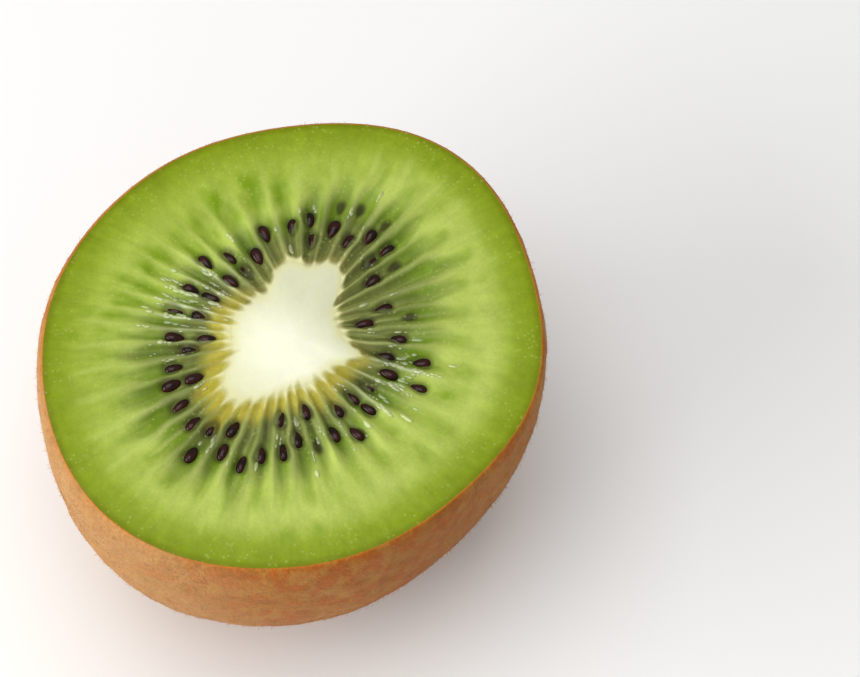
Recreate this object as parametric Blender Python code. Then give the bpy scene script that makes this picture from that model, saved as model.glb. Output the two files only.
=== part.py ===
"""Half a green kiwi fruit, cut across the middle, standing on its round end with the cut face up.

Metres, +Z up. X runs along the longer diameter of the cut and Y along the shorter one. The origin is
the middle of the small flat spot that the fruit stands on.
"""

import math
import random

import bpy
import bmesh
from mathutils import Matrix, Vector

MM = 0.001

# Driving sizes of the half fruit
FACE_LENGTH = 53.8 * MM
FACE_WIDTH = 47.9 * MM
HEIGHT = 33.5 * MM
CORE_DEPTH = 27.0 * MM

# The round body below the cut
WIDEST_BELOW_FACE = 4.0 * MM
WIDEST_SWELL = 0.012
FLATTENED_END = 0.5 * MM
END_BLUNTNESS = 2.32
FUZZ = 0.4 * MM
FUZZ_STARTS_OVER = 1.2 * MM
DOME_RINGS = 9

# The cut face: its edge, its slight dish, and the seed chambers that are sunk between pale rays
RIM_BEVEL = 0.3 * MM
DISH = 0.15 * MM
CHAMBERS = 39
CHAMBER_DEPTH = 0.4 * MM
CHAMBERS_END = 0.62
STEPS_PER_CHAMBER = 3
FACE_RINGS = (1.0, 0.8, 0.64, 0.52, 0.4, 0.28, 0.16, 0.06, 0.0)

# Each row of waves says how many go round, their size, and the direction of the first one in degrees.
# The rim is a little uneven, the chambers aren't evenly spread, and the rays between them lean.
RIM_WAVES = ((3, 0.06 * MM, 12), (4, 0.32 * MM, 12), (5, 0.16 * MM, 12), (6, 0.17 * MM, 5))
SPREAD_TURN = 2.2
SPREAD_WAVES = ((1, 6.8, 47), (2, 1.5, -89), (3, 3.2, -39))
LEAN_TURN = 2.5
LEAN_WAVES = ((1, 3.9, -170), (2, 6.8, 65))

# The pale core: its plain radius, and lobes as direction in degrees, height, and spread in degrees
CORE_RADIUS = 5.7 * MM
CORE_LOBES = (
    (17, 4.4 * MM, 16),
    (47, 3.4 * MM, 18),
    (109, 0.9 * MM, 32),
    (181, 3.7 * MM, 24),
    (296, 2.0 * MM, 12),
    (334, -1.2 * MM, 105),
)
CORE_GAP = 0.3 * MM
CORE_CROWN = 0.25 * MM
CORE_TAPER = 2.2
CORE_SIDE_RINGS = 6

# Seeds
SEED_LENGTH = 2.1 * MM
SEED_WIDTH = 1.25 * MM
SEED_THICKNESS = 1.0 * MM
SEED_TAPER = 0.35
SEED_SINK = 0.1 * MM
SEED_FROM_CORE = (3.3 * MM, 5.9 * MM)
SEED_SCATTER = 1.1 * MM
SEED_SIDESTEP = 0.15
SEED_CHANCE = (0.82, 0.78)
SEED_SPACING = 1.9 * MM
SEED_CORE_CLEARANCE = 0.4 * MM
LAYOUT = 1036

SKIN_COLOUR = (0.42, 0.22, 0.085, 1.0)
FLESH_COLOUR = (0.36, 0.47, 0.07, 1.0)
CORE_COLOUR = (0.83, 0.84, 0.62, 1.0)
SEED_COLOUR = (0.018, 0.008, 0.006, 1.0)


def clear_scene():
    for thing in list(bpy.data.objects):
        bpy.data.objects.remove(thing, do_unlink=True)


def material(name, colour, roughness):
    made = bpy.data.materials.new(name)
    made.use_nodes = True
    made.diffuse_color = colour
    shader = made.node_tree.nodes["Principled BSDF"]
    shader.inputs["Base Color"].default_value = colour
    shader.inputs["Roughness"].default_value = roughness
    shader.inputs["Metallic"].default_value = 0.0
    return made


def angle_between(first, second):
    """The turn in degrees from second to first, between -180 and 180."""
    return (first - second + 180) % 360 - 180


def waves(direction, rows):
    """The sum of some waves round the fruit, in a direction in degrees from +X."""
    return sum(size * math.cos(math.radians(count * (direction - first))) for count, size, first in rows)


def rim_radius(direction):
    """From the axis to the edge of the cut face."""
    mean = (FACE_LENGTH + FACE_WIDTH) / 4
    stretch = (FACE_LENGTH - FACE_WIDTH) / 4
    return mean + stretch * math.cos(math.radians(2 * direction)) + waves(direction, RIM_WAVES)


def core_radius(direction):
    """From the axis to the edge of the core where it is cut."""
    radius = CORE_RADIUS
    for middle, height, spread in CORE_LOBES:
        radius += height * math.exp(-((angle_between(direction, middle) / spread) ** 2))
    return radius


def pocket_radius(direction):
    """The core's edge moved out so that the gap, measured square to the edge, is CORE_GAP."""
    step = 0.5
    rise = core_radius(direction + step) - core_radius(direction - step)
    slope = rise / math.radians(2 * step) / core_radius(direction)
    return core_radius(direction) + CORE_GAP * math.hypot(1, slope)


def point_at(direction, radius, height=0.0):
    turn = math.radians(direction)
    return Vector((radius * math.cos(turn), radius * math.sin(turn), height))


def columns():
    """Even turns round the fruit. A ray stands on every STEPS_PER_CHAMBER-th one."""
    count = CHAMBERS * STEPS_PER_CHAMBER
    return [360 * column / count for column in range(count)]


def rim_direction(column):
    return column + SPREAD_TURN + waves(column, SPREAD_WAVES)


def core_direction(column):
    """Where the ray that meets the rim at rim_direction starts on the core's edge."""
    outer = rim_direction(column)
    return outer - LEAN_TURN - waves(outer, LEAN_WAVES)


def on_face(column, share):
    """A point of the cut face where share runs from 0 at the core's pocket to 1 at the rim."""
    inner = core_direction(column)
    outer = rim_direction(column)
    start = point_at(inner, pocket_radius(inner))
    end = point_at(outer, rim_radius(outer) - RIM_BEVEL)
    across = (1 - math.cos(math.radians(column * CHAMBERS))) / 2
    along = 0.0
    if share < CHAMBERS_END:
        along = math.sin(math.pi * share / CHAMBERS_END)
    point = start.lerp(end, share)
    point.z = HEIGHT - DISH * (1 - share) - CHAMBER_DEPTH * across * along
    return point


def ring(turn_at, radius_at, height):
    """Points round the axis at one height."""
    return [point_at(turn_at(column), radius_at(turn_at(column)), height) for column in columns()]


def dome_rings():
    """The skin from the edge of the flat spot up to the widest section."""
    reach = HEIGHT - WIDEST_BELOW_FACE + FLATTENED_END
    lowest = math.asin((1 - FLATTENED_END / reach) ** (END_BLUNTNESS / 2))
    rings = []
    for step in range(DOME_RINGS + 1):
        climb = lowest * (1 - step / DOME_RINGS)
        height = reach * (1 - math.sin(climb) ** (2 / END_BLUNTNESS)) - FLATTENED_END
        scale = math.cos(climb) ** (2 / END_BLUNTNESS) * (1 + WIDEST_SWELL)
        rings.append(ring(rim_direction, lambda d, s=scale: rim_radius(d) * s + FUZZ, max(height, 0.0)))
    return rings


def shoulder_rings():
    """The skin from the widest section to the rim, where the fuzz ends and the edge is rounded."""
    rings = []
    for below in (WIDEST_BELOW_FACE / 2, FUZZ_STARTS_OVER, RIM_BEVEL):
        scale = 1 + WIDEST_SWELL * (1 - (1 - below / WIDEST_BELOW_FACE) ** 2)
        fuzz = FUZZ * min(1.0, (below - RIM_BEVEL) / (FUZZ_STARTS_OVER - RIM_BEVEL))
        rings.append(ring(rim_direction, lambda d, s=scale, f=fuzz: rim_radius(d) * s + f, HEIGHT - below))
    return rings


def face_rings():
    """The cut face from its edge in to the core's pocket."""
    return [[on_face(column, share) for column in columns()] for share in FACE_RINGS]


def core_rings(radius_at, depth):
    """Sections down the core, from just under the cut to just over its rounded lower end."""
    rings = []
    for step in range(1, CORE_SIDE_RINGS + 1):
        sink = math.sin(math.pi / 2 * step / (CORE_SIDE_RINGS + 1))
        scale = math.sqrt(1 - sink**CORE_TAPER)
        rings.append(ring(core_direction, lambda d, s=scale: radius_at(d) * s, HEIGHT - depth * sink))
    return rings


def loft(name, first, rings, last, skin_rings=0):
    """One closed surface through rings of points, closed by a point at each end.

    The faces below the first skin_rings rings take the object's second material.
    """
    shape = bmesh.new()
    start = shape.verts.new(first)
    rows = [[shape.verts.new(point) for point in points] for points in rings]
    end = shape.verts.new(last)
    count = len(rows[0])
    for at in range(count):
        after = (at + 1) % count
        cap = shape.faces.new((start, rows[0][after], rows[0][at]))
        cap.material_index = 1 if skin_rings else 0
        for row, (lower, upper) in enumerate(zip(rows, rows[1:])):
            side = shape.faces.new((lower[at], lower[after], upper[after], upper[at]))
            side.material_index = 1 if row + 1 < skin_rings else 0
        shape.faces.new((rows[-1][at], rows[-1][after], end))
    bmesh.ops.recalc_face_normals(shape, faces=shape.faces)
    mesh = bpy.data.meshes.new(name)
    shape.to_mesh(mesh)
    shape.free()
    return mesh


def place(name, mesh, collection, *materials):
    for each in materials:
        mesh.materials.append(each)
    mesh.shade_smooth()
    mesh.set_sharp_from_angle(angle=math.radians(40))
    made = bpy.data.objects.new(name, mesh)
    collection.objects.link(made)
    return made


def make_core(collection):
    """The core from its slightly domed top to its rounded tip deep in the fruit."""
    edge = HEIGHT - DISH
    half_way = ring(core_direction, lambda d: core_radius(d) / 2, edge + CORE_CROWN * 0.75)
    outline = ring(core_direction, core_radius, edge)
    rings = [half_way, outline] + core_rings(core_radius, CORE_DEPTH)
    top = Vector((0, 0, edge + CORE_CROWN))
    tip = Vector((0, 0, HEIGHT - CORE_DEPTH))
    mesh = loft("kiwi_core", top, rings, tip)
    return place("kiwi_core", mesh, collection, material("core", CORE_COLOUR, 0.45))


def make_flesh(collection, flesh, skin):
    """The flesh in its skin, with a pocket down the middle that the core sits in."""
    outside = dome_rings() + shoulder_rings()
    pocket_depth = CORE_DEPTH + CORE_GAP
    rings = outside + face_rings() + core_rings(pocket_radius, pocket_depth)
    floor = Vector((0, 0, HEIGHT - pocket_depth))
    mesh = loft("kiwi_flesh", Vector((0, 0, 0)), rings, floor, skin_rings=len(outside) + 1)
    return place("kiwi_flesh", mesh, collection, flesh, skin)


def seed_places():
    """Seeds in two loose rows, as the point of the cut face under each and the way it points."""
    draw = random.Random(LAYOUT)
    places = []
    for chamber in range(CHAMBERS):
        for from_core, chance in zip(SEED_FROM_CORE, SEED_CHANCE):
            column = 360 * (chamber + 0.5 + draw.uniform(-1, 1) * SEED_SIDESTEP) / CHAMBERS
            start = on_face(column, 0)
            ray = on_face(column, 1) - start
            reach = from_core + draw.uniform(-1, 1) * SEED_SCATTER
            wanted = draw.random() < chance
            spot = on_face(column, reach / ray.length)
            clear = all((spot - other).length > SEED_SPACING for other, _ in places)
            direction = math.degrees(math.atan2(spot.y, spot.x))
            nearest_core = max(core_radius(direction + side) for side in (-8, -4, 0, 4, 8))
            off_core = spot.xy.length - SEED_LENGTH / 2 > nearest_core + SEED_CORE_CLEARANCE
            if wanted and clear and off_core:
                places.append((spot, math.atan2(ray.y, ray.x)))
    return places


def seed_mesh(name):
    """A drop lying along X, blunt at +X and narrower towards the core."""
    shape = bmesh.new()
    bmesh.ops.create_uvsphere(shape, u_segments=5, v_segments=4, radius=0.5)
    for corner in shape.verts:
        across, up, along = corner.co
        width = 1 + SEED_TAPER * 2 * along
        corner.co = Vector((along * SEED_LENGTH, across * SEED_WIDTH * width, up * SEED_THICKNESS * width))
    bmesh.ops.recalc_face_normals(shape, faces=shape.faces)
    mesh = bpy.data.meshes.new(name)
    shape.to_mesh(mesh)
    shape.free()
    return mesh


def make_seeds(collection, finish):
    for number, (spot, heading) in enumerate(seed_places()):
        seed = place(f"seed_{number}", seed_mesh(f"seed_{number}"), collection, finish)
        lowered = Matrix.Translation(spot - Vector((0, 0, SEED_SINK)))
        seed.matrix_world = lowered @ Matrix.Rotation(heading, 4, "Z")


def fuse(body, collection):
    """Joins a collection of small pieces to the body for good, and removes them."""
    joining = body.modifiers.new("fused", "BOOLEAN")
    joining.operation = "UNION"
    joining.operand_type = "COLLECTION"
    joining.collection = collection
    joining.solver = "EXACT"
    joining.material_mode = "TRANSFER"
    bpy.context.view_layer.update()
    joined = bpy.data.meshes.new_from_object(body.evaluated_get(bpy.context.evaluated_depsgraph_get()))
    body.modifiers.remove(joining)
    body.data = joined
    for piece in list(collection.objects):
        bpy.data.objects.remove(piece, do_unlink=True)
    bpy.data.collections.remove(collection)


def main():
    clear_scene()
    fruit = bpy.data.collections.new("kiwi fruit half")
    seeds = bpy.data.collections.new("seeds")
    bpy.context.scene.collection.children.link(fruit)
    bpy.context.scene.collection.children.link(seeds)
    flesh = material("flesh", FLESH_COLOUR, 0.35)
    skin = material("skin", SKIN_COLOUR, 0.85)
    body = make_flesh(fruit, flesh, skin)
    make_seeds(seeds, material("seed", SEED_COLOUR, 0.25))
    fuse(body, seeds)
    make_core(fruit)


main()
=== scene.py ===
"""The looks of a kiwi fruit half that stands with its cut face up.

Shapes are worked out in millimetres in the frame's own axes: +Z up, X along the longer diameter of
the cut, and the origin in the middle of the flat spot that the fruit stands on. new_piece turns them
into metres. Directions are in degrees round the fruit, and a column is a direction before the rays
are spread unevenly.
"""

import math
import random
from types import SimpleNamespace

import bpy
import numpy as np
from mathutils import Matrix, Vector


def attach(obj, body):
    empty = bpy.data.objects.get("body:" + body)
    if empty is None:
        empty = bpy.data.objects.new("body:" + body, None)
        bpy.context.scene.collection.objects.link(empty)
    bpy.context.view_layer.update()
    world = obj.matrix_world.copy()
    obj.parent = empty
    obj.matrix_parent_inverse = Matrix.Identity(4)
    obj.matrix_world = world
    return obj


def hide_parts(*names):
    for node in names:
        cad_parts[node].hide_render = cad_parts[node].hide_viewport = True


MM = 0.001

# The half fruit, with the values of its solids
FACE_LENGTH = 53.8
FACE_WIDTH = 47.9
HEIGHT = 33.5
CORE_DEPTH = 27.0
WIDEST_BELOW_FACE = 4.0
WIDEST_SWELL = 0.012
FLATTENED_END = 0.5
END_BLUNTNESS = 2.32
FUZZ = 0.4
FUZZ_STARTS_OVER = 1.2
RIM_BEVEL = 0.3
DISH = 0.15
CHAMBERS = 39
CHAMBER_DEPTH = 0.4
CHAMBERS_END = 0.62
RIM_WAVES = ((3, 0.06, 12), (4, 0.32, 12), (5, 0.16, 12), (6, 0.17, 5))
SPREAD_TURN = 2.2
SPREAD_WAVES = ((1, 6.8, 47), (2, 1.5, -89), (3, 3.2, -39))
LEAN_TURN = 2.5
LEAN_WAVES = ((1, 3.9, -170), (2, 6.8, 65))
CORE_RADIUS = 5.7
CORE_LOBES = (
    (17, 4.4, 16), (47, 3.4, 18), (109, 0.9, 32),
    (181, 3.7, 24), (296, 2.0, 12), (334, -1.2, 105),
)
CORE_MARGIN = 0.15
CORE_CROWN = 0.25
CORE_TAPER = 2.2
SEED_LENGTH = 2.1
SEED_WIDTH = 1.25
SEED_THICKNESS = 1.0
SEED_TAPER = 0.35
SEED_SINK = 0.1
SEED_FROM_CORE = (3.3, 5.9)
SEED_SCATTER = 1.1
SEED_SIDESTEP = 0.15
SEED_CHANCE = (0.82, 0.78)
SEED_SPACING = 1.9
SEED_CORE_CLEARANCE = 0.4
LAYOUT = 1036

# The cut face's fineness and relief
FACE_STEPS = CHAMBERS * 20
FACE_ROWS = 104
CORE_ROWS = 30
CORE_SIDE_ROWS = 6
FACE_RELIEF = 0.08
FACE_GRAIN = 0.015
CORE_RELIEF = 0.06
SEED_DIMPLE = 0.2
CHAMBER_REACH = (17.0, 3.4)
FRINGE_END = 19.8
UNROLLED_RADIUS = 21.0
SUNK_SEED_TRIES = 160
SUNK_SEED_FROM_CORE = (2.2, 7.5)
SUNK_SEED_SIDESTEP = 0.16
SUNK_SEED_CLEARANCE = 2.2

# The skin, whose levels run from 0 at the flat spot to 1 at the rim
SKIN_THICKNESS = 0.6
SKIN_UNDER_FUZZ = 0.25
SKIN_LUMPS = 0.3
SKIN_STEPS = 440
SKIN_ROWS = 118
SKIN_PROFILE_RADIUS = 25.4
LIP_SHARES = (0.35, 0.7, 1.0)
SKIN_INSIDE_LEVELS = (0.985, 0.94, 0.86, 0.74, 0.6, 0.45, 0.3, 0.15, 0.04)
FLESH_SIDE_LEVELS = (0.995, 0.96, 0.9, 0.8, 0.66, 0.5, 0.34, 0.18, 0.06)

# Sides of the fruit that look different, as directions. The glint sides, where highlights are painted on the
# rays, also have their softness.
OLIVE_SIDE = 192
SOFT_CORE_SIDE = 185
PALE_FLESH_SIDE = 275
FRINGED_SIDE = 105
GLINT_SIDES = ((112, 0.82, 0.98), (288, 0.86, 0.99))
RUSTY_SKIN_SIDE = 235
# The side of the skin that faces the left lamp, where a pale haze of light is painted
LIT_SKIN_SIDE = 170

# The hairs: the lowest and highest length, lift in degrees and half width of each kind. A hair has one
# straight stretch for each of its leans, which are shares of its lift.
HAIR_FLATNESS = 0.45
HAIR_SLIMMING = 0.8
HAIR_ROOT_DEPTH = 0.08
FUZZ_TOP = 0.999
FELT_HAIRS = 45000
TUFT_CLUMPS = 900
TUFT_HAIRS = 9
LONG_HAIRS = 3000
FELT = SimpleNamespace(
    name="kiwi_fuzz_felt", length=(0.3, 0.65), lift=(4, 17), width=(0.025, 0.042),
    leans=(1.0,), swirl=1.0, tint=(196, 130, 60), tinted=0.25,
)
TUFTS = SimpleNamespace(
    name="kiwi_fuzz_tufts", length=(0.3, 0.5), lift=(2, 7), width=(0.022, 0.035),
    leans=(1.5, 0.2), swirl=1.0, tint=(200, 120, 50), tinted=0.5,
)
LONG = SimpleNamespace(
    name="kiwi_fuzz_long", length=(0.6, 1.0), lift=(12, 42), width=(0.016, 0.022),
    leans=(1.5, 0.2), swirl=1.4, tint=(214, 158, 92), tinted=0.5,
)

# The juice: strings of beads, in two patches with a middle and a spread, and all round
JUICE_STRINGS = 190
JUICE_PATCHES = ((112, 13), (291, 11))
JUICE_CHANCES = (0.30, 0.34, 0.36)
JUICE_ON_RAYS = 0.5
BEAD_SPACING = 0.4
BEAD_FLATNESS = 0.45

# The photograph's view, from a pinhole model fitted to the edge of the cut face
CAMERA_PLACE = (-98.3, -88.4, 287.0)
CAMERA_TARGET = (9.4, -9.9, 33.5)
CAMERA_ROLL = 7.4
CAMERA_LENS = 118.9
SENSOR_WIDTH = 36.0
CLIP_START = 10

# The studio: each lamp's name, place, size and power in watts
LAMPS = (
    ("left window", (-490, 210, 200), 460, 3.2),
    ("overhead", (-60, 80, 620), 480, 1.9),
)
STUDIO_LIGHT = 0.42
FLOOR_SIZE = 6000

# The flat layout that the looks can be baked to: it is 1 wide, and BAKE_SPAN is that width on the face
BAKE_MAP = "OFBake"
BAKE_SPAN = 62.5
BAKE_MIDDLE = 0.5
BAKE_EDGE = 0.495
BAKE_TIP = 0.499


# Numbers

def waves(direction, rows):
    """The sum of some waves round the fruit: how many go round, their size, and where the first one is."""
    return sum(size * np.cos(np.radians(count * (direction - first))) for count, size, first in rows)


def smooth(value, low, high):
    """0 below low, 1 above high, and an even slope between them."""
    share = np.clip((value - low) / (high - low), 0, 1)
    return share * share * (3 - 2 * share)


def bell(distance, width):
    return np.exp(-((distance / width) ** 2))


def lattice_noise(points, size, key):
    """Soft noise from 0 to 1 that varies over about size, at points of three numbers each."""
    side = 32
    table = np.random.default_rng(key).random((side, side, side))
    place = points / size
    corner = np.floor(place).astype(int)
    part = place - corner
    part = part * part * (3 - 2 * part)
    total = np.zeros(len(points))
    for step in np.ndindex(2, 2, 2):
        weight = np.prod(np.where(step, part, 1 - part), axis=1)
        x, y, z = ((corner + step) % side).T
        total += weight * table[x, y, z]
    return total


def rough_noise(points, size, key, layers=3):
    """Lattice noise in several layers, each half the size and weight of the last."""
    total = np.zeros(len(points))
    weight = 0.0
    for layer in range(layers):
        total += lattice_noise(points, size / 2**layer, key + layer) / 2**layer
        weight += 1 / 2**layer
    return total / weight


def srgb(red, green, blue):
    """A colour as it looks on screen, from 0 to 255, as linear light."""
    share = np.array((red, green, blue)) / 255
    return np.where(share <= 0.04045, share / 12.92, ((share + 0.055) / 1.055) ** 2.4)


def mix(first, second, share):
    """From first at 0 to second at 1, for a whole list of colours."""
    return first + (second - first) * np.asarray(share)[..., None]


# Colours

CORE_MIDDLE = srgb(243, 243, 219)
CORE_FAR = srgb(222, 222, 180)
CORE_SHADED = srgb(212, 215, 182)
CORE_EDGE = srgb(220, 217, 154)
OLIVE = srgb(170, 158, 50)
GREY_OLIVE = srgb(122, 117, 58)
GREY_GREEN = srgb(94, 100, 46)
DEEP_GREEN = srgb(100, 130, 8)
RAY_NEAR = srgb(198, 190, 112)
RAY_SHADED = srgb(154, 152, 92)
RAY_MIDDLE = srgb(134, 144, 78)
RAY_FAR = srgb(174, 190, 90)
# A pale for the painted highlights along the rays
PAINTED_RAY_GLINT = srgb(204, 212, 172)
FLESH_PALE = srgb(178, 193, 93)
FLESH = srgb(153, 173, 56)
FLESH_DEEP = srgb(128, 148, 20)
FLESH_RIM = srgb(114, 128, 4)
VEIN = srgb(114, 146, 4)
SPECK = srgb(188, 202, 116)
# A pale that is partly the juice's own colour and partly a painted glint
JUICE_AND_GLINT = srgb(200, 210, 170)
SEED_SHADE = srgb(40, 36, 18)
SUNK_SEED = srgb(44, 28, 22)
SEED_DARK = srgb(24, 5, 4)
SEED_LIGHT = srgb(50, 15, 11)
SKIN_BROWN = srgb(164, 102, 30)
SKIN_RUST = srgb(170, 88, 22)
SKIN_TAN = srgb(180, 125, 54)
SKIN_DARK = srgb(134, 76, 24)
SKIN_LIP = srgb(190, 116, 34)
# A pale haze of light, painted on the lit side of the skin
SKIN_PAINTED_LIGHT = srgb(184, 146, 96)
SHEEN_TINT = (1.0, 0.82, 0.52, 1.0)
FLOOR_COLOUR = (0.9, 0.9, 0.89, 1.0)
WHITE = (1.0, 1.0, 1.0, 1.0)


# The fruit's form

def rim_radius(direction):
    mean = (FACE_LENGTH + FACE_WIDTH) / 4
    stretch = (FACE_LENGTH - FACE_WIDTH) / 4
    return mean + stretch * np.cos(np.radians(2 * direction)) + waves(direction, RIM_WAVES)


def core_radius(direction):
    radius = np.full(np.shape(direction), CORE_RADIUS)
    for middle, height, spread in CORE_LOBES:
        radius = radius + height * bell((direction - middle + 180) % 360 - 180, spread)
    return radius


def core_edge(direction):
    """The edge that the core and the flesh share, where the solids leave a small gap."""
    return core_radius(direction) + CORE_MARGIN


def rim_direction(column):
    return column + SPREAD_TURN + waves(column, SPREAD_WAVES)


def core_direction(column):
    """Where the ray that meets the rim at rim_direction starts on the core's edge."""
    outer = rim_direction(column)
    return outer - LEAN_TURN - waves(outer, LEAN_WAVES)


def turned(direction, radius):
    """Flat points at a direction and distance from the axis."""
    turn = np.radians(direction)
    return np.stack([radius * np.cos(turn), radius * np.sin(turn)], axis=-1)


def ray_ends(column):
    """Where the rays start on the core's edge and end at the skin."""
    inner = core_direction(column)
    outer = rim_direction(column)
    return turned(inner, core_edge(inner)), turned(outer, rim_radius(outer) - RIM_BEVEL)


def pocket_radius(direction):
    """The edge of the pocket in the solids, from which they count their seeds' places."""
    gap = 0.3
    step = 0.5
    slope = (core_radius(direction + step) - core_radius(direction - step)) / math.radians(2 * step)
    return core_radius(direction) + gap * np.hypot(1, slope / core_radius(direction))


def seed_places():
    """The seeds' places and headings, by the rule and the draws that the solids use."""
    draw = random.Random(LAYOUT)
    places = []
    for chamber in range(CHAMBERS):
        for from_core, chance in zip(SEED_FROM_CORE, SEED_CHANCE):
            column = 360 * (chamber + 0.5 + draw.uniform(-1, 1) * SEED_SIDESTEP) / CHAMBERS
            inner = core_direction(column)
            outer = rim_direction(column)
            start = turned(inner, pocket_radius(inner))
            ray = turned(outer, rim_radius(outer) - RIM_BEVEL) - start
            reach = from_core + draw.uniform(-1, 1) * SEED_SCATTER
            wanted = draw.random() < chance
            spot = start + ray * reach / np.hypot(*ray)
            clear = all(np.hypot(*(spot - other)) > SEED_SPACING for other, _ in places)
            direction = math.degrees(math.atan2(spot[1], spot[0]))
            nearest_core = max(core_radius(direction + side) for side in (-8, -4, 0, 4, 8))
            off_core = np.hypot(*spot) - SEED_LENGTH / 2 > nearest_core + SEED_CORE_CLEARANCE
            if wanted and clear and off_core:
                places.append((spot, math.atan2(ray[1], ray[0])))
    return places


def sunk_seed_places(shown):
    """Seeds that lie just under the cut and only darken the flesh above them."""
    draw = np.random.default_rng(8)
    places = []
    for _ in range(SUNK_SEED_TRIES):
        chamber = draw.integers(CHAMBERS)
        column = 360 * (chamber + 0.5 + draw.uniform(-1, 1) * SUNK_SEED_SIDESTEP) / CHAMBERS
        start, end = ray_ends(column)
        ray = (end - start) / np.hypot(*(end - start))
        spot = start + ray * draw.uniform(*SUNK_SEED_FROM_CORE)
        direction = math.degrees(math.atan2(spot[1], spot[0]))
        inside = np.hypot(*spot) < chamber_end(direction) - SUNK_SEED_CLEARANCE
        if inside and all(np.hypot(*(spot - other)) > SEED_SPACING for other, _ in shown + places):
            places.append((spot, math.atan2(ray[1], ray[0])))
    return places


def around_seeds(flat, places, length=SEED_LENGTH, width=SEED_WIDTH):
    """How far each flat point is from the nearest seed, where 1 is that seed's outline."""
    nearest = np.full(len(flat), 9.0)
    for spot, heading in places:
        away = flat - spot
        near = np.abs(away).max(axis=1) < 2.5 * length
        along = away[near] @ (math.cos(heading), math.sin(heading))
        across = away[near] @ (-math.sin(heading), math.cos(heading))
        narrowed = width / 2 * (1 + SEED_TAPER * 2 * np.clip(along / length, -0.5, 0.5))
        nearest[near] = np.minimum(nearest[near], np.hypot(along / (length / 2), across / narrowed))
    return nearest


# Making pieces

def new_object(name, data):
    thing = bpy.data.objects.new(name, data)
    bpy.context.scene.collection.objects.link(thing)
    return thing


def new_piece(name, points, faces, smoothed=True):
    """A mesh object from points in millimetres. Faces are rows of three or four point numbers."""
    mesh = bpy.data.meshes.new(name)
    mesh.from_pydata((np.asarray(points) * MM).tolist(), [], [list(face) for face in faces])
    if smoothed:
        mesh.shade_smooth()
    return new_object(name, mesh)


def paint(piece, colours):
    """One linear colour for each point, as an attribute that the material reads."""
    layer = piece.data.attributes.new("tone", "FLOAT_COLOR", "POINT")
    full = np.ones((len(colours), 4), np.float32)
    full[:, :3] = colours
    layer.data.foreach_set("color", full.ravel())


def measure(piece, vectors, name):
    """Three numbers for each point, as an attribute that the material reads as coordinates."""
    layer = piece.data.attributes.new(name, "FLOAT_VECTOR", "POINT")
    layer.data.foreach_set("vector", np.asarray(vectors, np.float32).ravel())


def grid_faces(rows, count):
    """Quads between neighbouring rings of count points, with point 0 left for a first end."""
    row, at = np.meshgrid(np.arange(rows - 1), np.arange(count), indexing="ij")
    after = (at + 1) % count
    here = 1 + row * count
    quads = np.stack([here + at, here + after, here + count + after, here + count + at], axis=-1)
    return quads.reshape(-1, 4)


def loft(name, first, rings, last, spread):
    """A closed piece through rings of points. spread is each ring's distance from the layout's middle."""
    rows, count = rings.shape[:2]
    points = np.concatenate([[first], rings.reshape(-1, 3), [last]])
    end = len(points) - 1
    at = np.arange(count)
    after = (at + 1) % count
    opening = np.stack([np.zeros(count, int), 1 + after, 1 + at], axis=-1)
    final = 1 + (rows - 1) * count
    closing = np.stack([final + at, final + after, np.full(count, end)], axis=-1)
    faces = opening.tolist() + grid_faces(rows, count).tolist() + closing.tolist()
    piece = new_piece(name, points, faces)
    turn = np.degrees(np.arctan2(rings[..., 1], rings[..., 0]))
    flat = BAKE_MIDDLE + turned(turn, np.broadcast_to(np.asarray(spread)[:, None], turn.shape))
    middle = np.full((1, 2), BAKE_MIDDLE)
    unroll(piece, np.concatenate([middle, flat.reshape(-1, 2)]), BAKE_MIDDLE + turned(turn[-1], BAKE_TIP))
    return piece


def corner_points(piece):
    """The number of the point that each corner of the faces has."""
    corners = np.zeros(len(piece.data.loops), int)
    piece.data.loops.foreach_get("vertex_index", corners)
    return corners


def lay_out(piece, layout):
    """The piece's flat layout for baking, with a flat point for each corner of the faces."""
    layer = piece.data.uv_layers.new(name=BAKE_MAP)
    layer.data.foreach_set("uv", np.asarray(layout, np.float32).ravel())


def unroll(piece, flat, middles):
    """Lays the piece out as a disc. The last fan's tip is spread along the disc's edge."""
    corners = corner_points(piece)
    layout = np.zeros((len(corners), 2))
    body = corners < len(flat)
    layout[body] = flat[corners[body]]
    layout[~body] = middles
    lay_out(piece, layout)


def dress(piece, material, node):
    """Gives a piece its material, hangs it on the root body and hides the solid that it stands for."""
    piece.data.materials.append(material)
    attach(piece, "root")
    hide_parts(node)


# Materials

def fill(tree, node, inputs):
    """Links the inputs whose values are outputs of other nodes, and sets the rest."""
    for name, value in inputs.items():
        if isinstance(value, bpy.types.NodeSocket):
            tree.links.new(value, node.inputs[name])
        else:
            node.inputs[name].default_value = value


def add_node(tree, kind, output, inputs, **modes):
    """The output of a new node, with its modes and inputs filled in."""
    node = tree.nodes.new(kind)
    for name, value in modes.items():
        setattr(node, name, value)
    fill(tree, node, inputs)
    return node.outputs[output]


def new_material(name):
    material = bpy.data.materials.new(name)
    material.use_nodes = True
    return material, material.node_tree, material.node_tree.nodes["Principled BSDF"]


def attribute(tree, name, output):
    return add_node(tree, "ShaderNodeAttribute", output, {}, attribute_name=name)


def object_place(tree):
    return add_node(tree, "ShaderNodeTexCoord", "Object", {})


def noise_texture(tree, vector, scale, detail=2.0, roughness=0.5):
    inputs = {"Vector": vector, "Scale": scale, "Detail": detail, "Roughness": roughness}
    return add_node(tree, "ShaderNodeTexNoise", "Fac", inputs)


def mapped(tree, value, low, high, to_low, to_high, mode="LINEAR"):
    """The value, stretched so that low to high becomes to_low to to_high."""
    inputs = {"Value": value, "From Min": low, "From Max": high, "To Min": to_low, "To Max": to_high}
    return add_node(tree, "ShaderNodeMapRange", "Result", inputs, interpolation_type=mode)


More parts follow.
